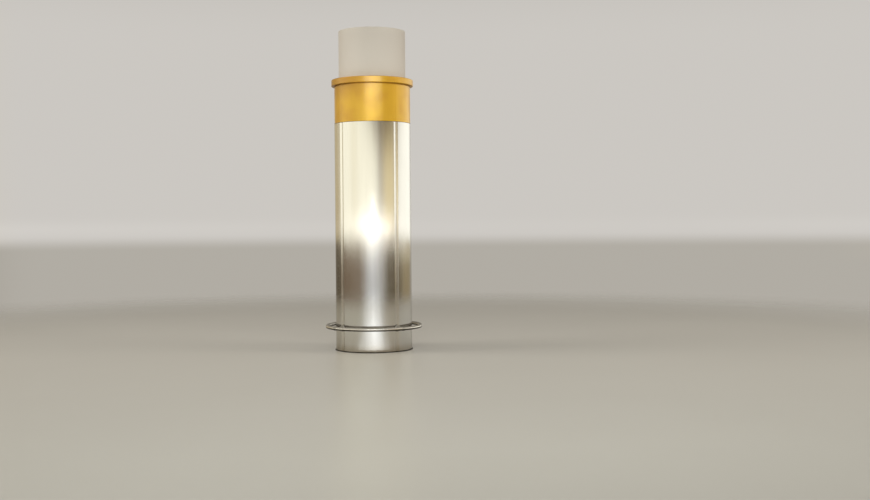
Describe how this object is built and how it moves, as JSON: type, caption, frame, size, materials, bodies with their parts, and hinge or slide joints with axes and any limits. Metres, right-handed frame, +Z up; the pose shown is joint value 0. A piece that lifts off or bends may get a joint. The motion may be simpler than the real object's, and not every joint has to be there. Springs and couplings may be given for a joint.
{
  "type": "clad concourse column",
  "caption": "Round column with brushed steel cladding, dished joint covers, a gold collar and lip below a painted shaft, and a tubular bumper rail round the foot.",
  "frame": {"origin": "centre of the foot, on the floor", "axes": "+Z up along the column's axis; -Y towards the front, which is the middle of a panel; the joints are on the diagonals"},
  "size_m": [0.876, 0.876, 2.862],
  "materials": {
    "shaft_paint": "matt masonry paint on fair-faced concrete",
    "galvanised": "galvanised, dull",
    "cladding": "stainless sheet with a vertical brushed grain",
    "cover_strip": "stainless, brighter and finer brushed than the sheet",
    "gold_paint": "gold metallic paint, satin",
    "sealant": "matt",
    "rail_steel": "stainless tube, satin polished"
  },
  "bodies": {
    "root": {"concrete_shaft": "shaft_paint", "hat_rail_front_right": "galvanised", "hat_rail_back_right": "galvanised", "hat_rail_back_left": "galvanised", "hat_rail_front_left": "galvanised", "panel_front": "cladding", "panel_right": "cladding", "panel_back": "cladding", "panel_left": "cladding", "joint_cover_front_right": "cover_strip", "joint_cover_back_right": "cover_strip", "joint_cover_back_left": "cover_strip", "joint_cover_front_left": "cover_strip", "collar_seal": "sealant", "collar_front": "gold_paint", "collar_right": "gold_paint", "collar_back": "gold_paint", "collar_left": "gold_paint", "lip_front": "gold_paint", "lip_right": "gold_paint", "lip_back": "gold_paint", "lip_left": "gold_paint", "foot_seal": "sealant", "rail_front": "rail_steel", "rail_right": "rail_steel", "rail_back": "rail_steel", "rail_left": "rail_steel", "tee_front_right": "rail_steel", "tee_back_right": "rail_steel", "tee_back_left": "rail_steel", "tee_front_left": "rail_steel", "rosette_front_right": "rail_steel", "rosette_back_right": "rail_steel", "rosette_back_left": "rail_steel", "rosette_front_left": "rail_steel"}
  },
  "joints": []
}
